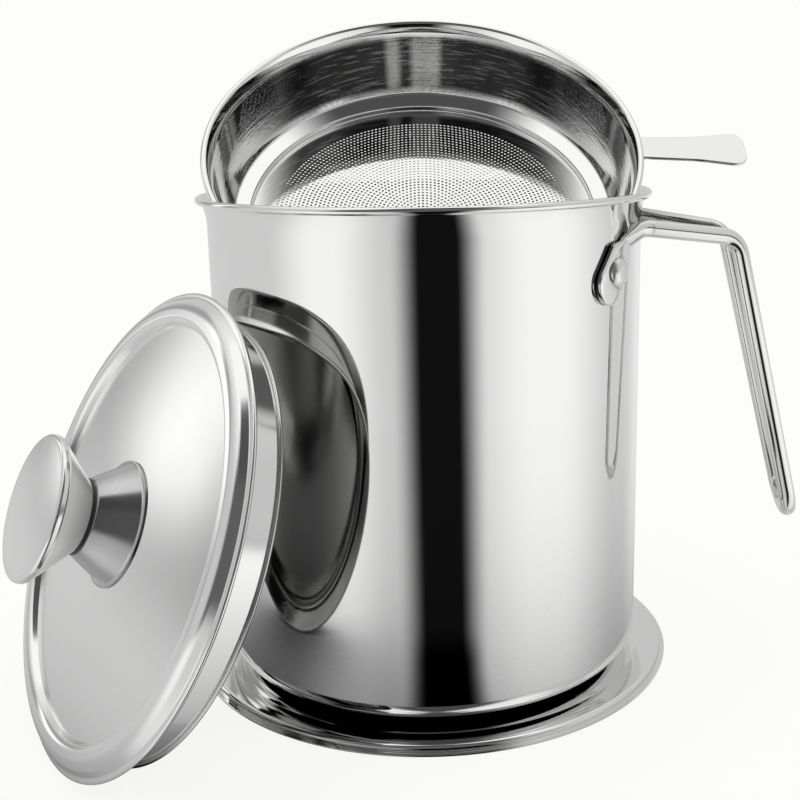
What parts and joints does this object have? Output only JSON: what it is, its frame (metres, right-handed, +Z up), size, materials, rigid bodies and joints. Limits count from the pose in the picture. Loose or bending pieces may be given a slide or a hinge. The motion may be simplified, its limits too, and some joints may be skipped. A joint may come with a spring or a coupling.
{
  "type": "bacon grease container",
  "caption": "Straight-sided steel grease pot with a rod handle on a drip tray, its strainer tipped up in the mouth and its domed, knobbed lid leaned against the wall.",
  "frame": {"origin": "on the floor, in the middle of the drip tray's underside", "axes": "+Z up along the pot's axis; +X towards the handle's side, which is turned 6.5 degrees from +X towards -Y; -Y is the front, towards which the strainer drops"},
  "size_m": [0.2434, 0.1935, 0.2037],
  "materials": {
    "tray_steel": "polished stainless steel",
    "pot_steel": "mirror-polished stainless steel",
    "handle_steel": "polished stainless steel rod",
    "strainer_steel": "mirror-polished stainless steel",
    "filter_steel": "polished stainless steel with fine round holes",
    "lid_steel": "polished stainless steel",
    "knob_steel": "polished stainless steel",
    "hardware_steel": "plain stainless steel",
    "knob_black": "black plastic, slightly soft"
  },
  "bodies": {
    "tray": {"drip_tray": "tray_steel"},
    "pot": {"pot_body": "pot_steel", "handle_rod": "handle_steel", "handle_rivet_front": "handle_steel", "handle_rivet_rear": "handle_steel"},
    "strainer": {"strainer_cup": "strainer_steel", "strainer_filter": "filter_steel", "strainer_tab": "strainer_steel"},
    "lid": {"lid_shell": "lid_steel", "knob_base": "knob_steel", "knob_ring": "knob_black", "knob_body": "knob_steel", "knob_cap": "knob_steel", "knob_insert": "hardware_steel", "knob_screw": "hardware_steel", "knob_washer": "hardware_steel"}
  },
  "joints": [
    {"name": "pot_lift", "type": "slide", "parent": "tray", "child": "pot", "axis": [0, 0, 1], "range_m": [0, 0.1]},
    {"name": "strainer_lift", "type": "slide", "parent": "pot", "child": "strainer", "axis": [0, 0, 1], "range_m": [0, 0.08]},
    {"name": "lid_lift", "type": "slide", "parent": "tray", "child": "lid", "axis": [-0.7755, -0.4921, 0.3955], "range_m": [0, 0.1]}
  ]
}
